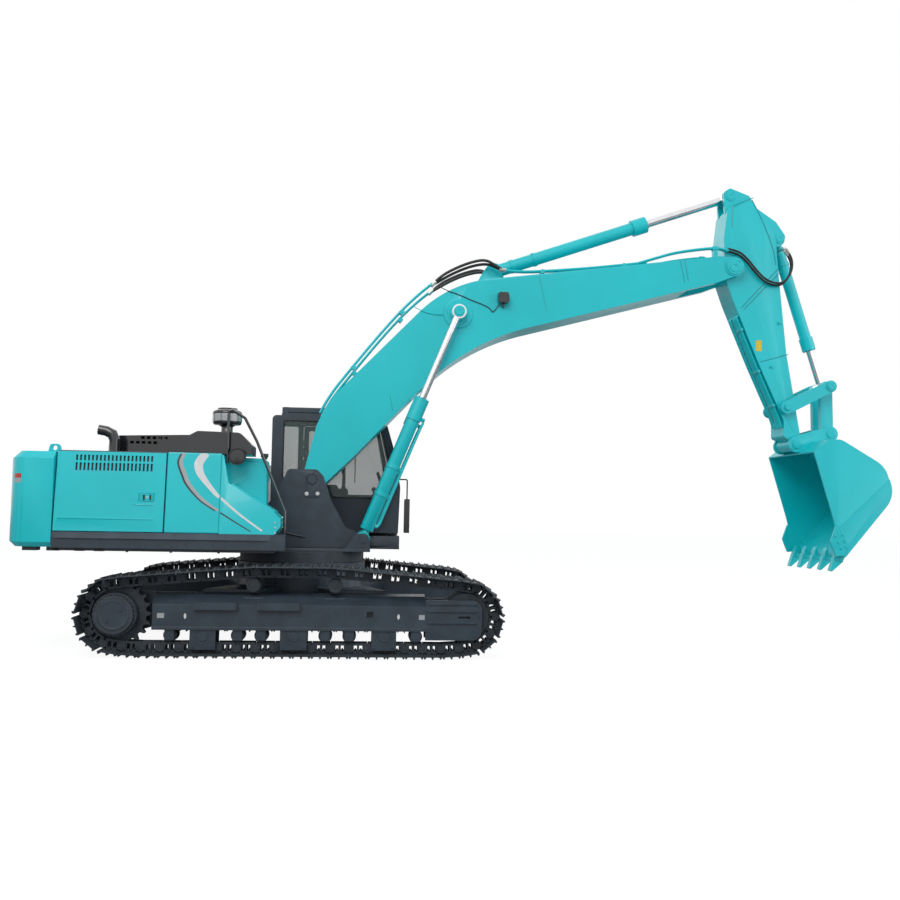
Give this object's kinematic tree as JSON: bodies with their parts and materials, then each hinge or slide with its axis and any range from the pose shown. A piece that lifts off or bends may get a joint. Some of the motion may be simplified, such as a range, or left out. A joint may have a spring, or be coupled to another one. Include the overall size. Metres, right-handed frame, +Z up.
{
  "type": "crawler excavator",
  "caption": "Crawler excavator with a raised boom, bent arm and curling bucket on hydraulic cylinders, a swinging upper body with cab, doors and hood, on two shod tracks.",
  "frame": {"origin": "on the ground under the middle of the whole machine's length and width, bucket included", "axes": "+X ahead towards the bucket, +Y to the machine's left (cab side), +Z up"},
  "size_m": [11.2315, 3.2, 6.2623],
  "materials": {
    "teal": "gloss",
    "dark": "satin",
    "track_steel": "matte",
    "black_metal": "gloss",
    "engine_iron": "matte",
    "chrome_rod": "polished",
    "glass": "gloss",
    "seat_fabric": "matte",
    "black_plastic": "matte",
    "worn_steel": "matte"
  },
  "bodies": {
    "undercarriage": {"track_right": "track_steel", "track_left": "track_steel", "sprocket_right": "dark", "sprocket_left": "dark", "idler_right": "dark", "idler_left": "dark", "rollers_right": "dark", "rollers_left": "dark", "track_frame_right": "dark", "track_frame_left": "dark", "carbody": "dark", "swing_bearing": "dark"},
    "upper_structure": {"main_frame": "dark", "counterweight": "teal", "engine_bay": "dark", "engine_block": "engine_iron", "tank": "teal", "toolbox": "teal", "side_locker": "teal", "hydraulic_tank": "dark", "exhaust_pipe": "black_metal", "air_cleaner": "black_metal", "cab_shell": "dark", "cab_glass": "glass", "roof_guard": "dark", "operator_seat": "seat_fabric", "cab_console": "black_plastic", "handrail_right": "black_metal", "mirror_left": "black_metal"},
    "right_side_door": {"side_door_right": "teal"},
    "left_side_door": {"side_door_left": "teal"},
    "engine_hood": {"hood": "black_metal"},
    "cab_entry_door": {"cab_door": "dark", "door_glass": "glass"},
    "boom_body": {"boom": "teal", "boom_lamp": "black_plastic"},
    "boom_cylinder_barrels": {"boom_barrels": "teal"},
    "boom_cylinder_rods": {"boom_rods": "chrome_rod"},
    "arm_body": {"arm": "teal"},
    "arm_cylinder_barrel": {"arm_barrel": "teal"},
    "arm_cylinder_rod": {"arm_rod": "chrome_rod"},
    "bucket_body": {"bucket": "teal", "bucket_teeth": "teal"},
    "bucket_cylinder_barrel": {"bucket_barrel": "teal"},
    "bucket_cylinder_rod": {"bucket_rod": "chrome_rod"},
    "idler_link_pair": {"idler_links": "teal"},
    "power_link_body": {"power_link": "teal"}
  },
  "joints": [
    {"name": "swing", "type": "hinge", "parent": "undercarriage", "child": "upper_structure", "pos_m": [-2.0875, 0, 1.2], "axis": [0, 0, 1], "continuous": true},
    {"name": "right_side_door_swing", "type": "hinge", "parent": "upper_structure", "child": "right_side_door", "pos_m": [-4.8375, -1.49, 1.5], "axis": [0, 0, -1], "range_deg": [0, 90]},
    {"name": "left_side_door_swing", "type": "hinge", "parent": "upper_structure", "child": "left_side_door", "pos_m": [-4.8375, 1.49, 1.5], "axis": [0, 0, 1], "range_deg": [0, 90]},
    {"name": "hood_lift", "type": "hinge", "parent": "upper_structure", "child": "engine_hood", "pos_m": [-3.4275, 0, 2.36], "axis": [0, 1, 0], "range_deg": [0, 60]},
    {"name": "cab_door_swing", "type": "hinge", "parent": "upper_structure", "child": "cab_entry_door", "pos_m": [-2.1945, 1.504, 1.5], "axis": [0, 0, 1], "range_deg": [0, 120]},
    {"name": "boom_lift", "type": "hinge", "parent": "upper_structure", "child": "boom_body", "pos_m": [-1.9675, 0, 2.11], "axis": [0, -1, 0], "range_deg": [-69, 33]},
    {"name": "boom_cylinder_pivot", "type": "hinge", "parent": "upper_structure", "child": "boom_cylinder_barrels", "pos_m": [-1.3075, 0, 1.36], "axis": [0, -1, 0], "range_deg": [-66, 32]},
    {"name": "boom_cylinder_stroke", "type": "slide", "parent": "boom_cylinder_barrels", "child": "boom_cylinder_rods", "axis": [0.3709, 0, 0.9287], "range_m": [-1.14, 0.55]},
    {"name": "arm_swing", "type": "hinge", "parent": "boom_body", "child": "arm_body", "pos_m": [3.6425, 0, 5.12], "axis": [0, 1, 0], "range_deg": [-67, 52]},
    {"name": "arm_cylinder_pivot", "type": "hinge", "parent": "boom_body", "child": "arm_cylinder_barrel", "pos_m": [0.3525, 0, 4.98], "axis": [0, 1, 0], "range_deg": [-6, 5]},
    {"name": "arm_cylinder_stroke", "type": "slide", "parent": "arm_cylinder_barrel", "child": "arm_cylinder_rod", "axis": [0.9416, 0, 0.3367], "range_m": [-1.11, 0.86]},
    {"name": "bucket_curl", "type": "hinge", "parent": "arm_body", "child": "bucket_body", "pos_m": [4.5325, 0, 2.73], "axis": [0, -1, 0], "range_deg": [-129, 46]},
    {"name": "power_link_pivot", "type": "hinge", "parent": "bucket_body", "child": "power_link_body", "pos_m": [5.0125, 0, 2.88], "axis": [0, -1, 0], "range_deg": [-32, 86.5]},
    {"name": "idler_link_pivot", "type": "hinge", "parent": "arm_body", "child": "idler_link_pair", "pos_m": [4.3825, 0, 3.22], "axis": [0, -1, 0], "range_deg": [-84, 31]},
    {"name": "bucket_cylinder_pivot", "type": "hinge", "parent": "arm_body", "child": "bucket_cylinder_barrel", "pos_m": [4.3525, 0, 5.59], "axis": [0, -1, 0], "range_deg": [-5, 2]},
    {"name": "bucket_cylinder_stroke", "type": "slide", "parent": "bucket_cylinder_barrel", "child": "bucket_cylinder_rod", "axis": [0.3009, 0, -0.9537], "range_m": [-0.32, 0.86]}
  ],
  "couplings": [
    {"joint": "boom_cylinder_pivot", "follows": "boom_lift", "ratio": 0.95},
    {"joint": "boom_cylinder_stroke", "follows": "boom_lift", "m_per_rad": 0.94},
    {"joint": "arm_cylinder_pivot", "follows": "arm_swing", "ratio": 0.0716},
    {"joint": "arm_cylinder_stroke", "follows": "arm_swing", "m_per_rad": 0.941},
    {"joint": "power_link_pivot", "follows": "bucket_curl", "ratio": -0.66},
    {"joint": "idler_link_pivot", "follows": "bucket_curl", "ratio": 0.64},
    {"joint": "bucket_cylinder_pivot", "follows": "bucket_curl", "ratio": 0.03},
    {"joint": "bucket_cylinder_stroke", "follows": "bucket_curl", "m_per_rad": -0.375}
  ]
}
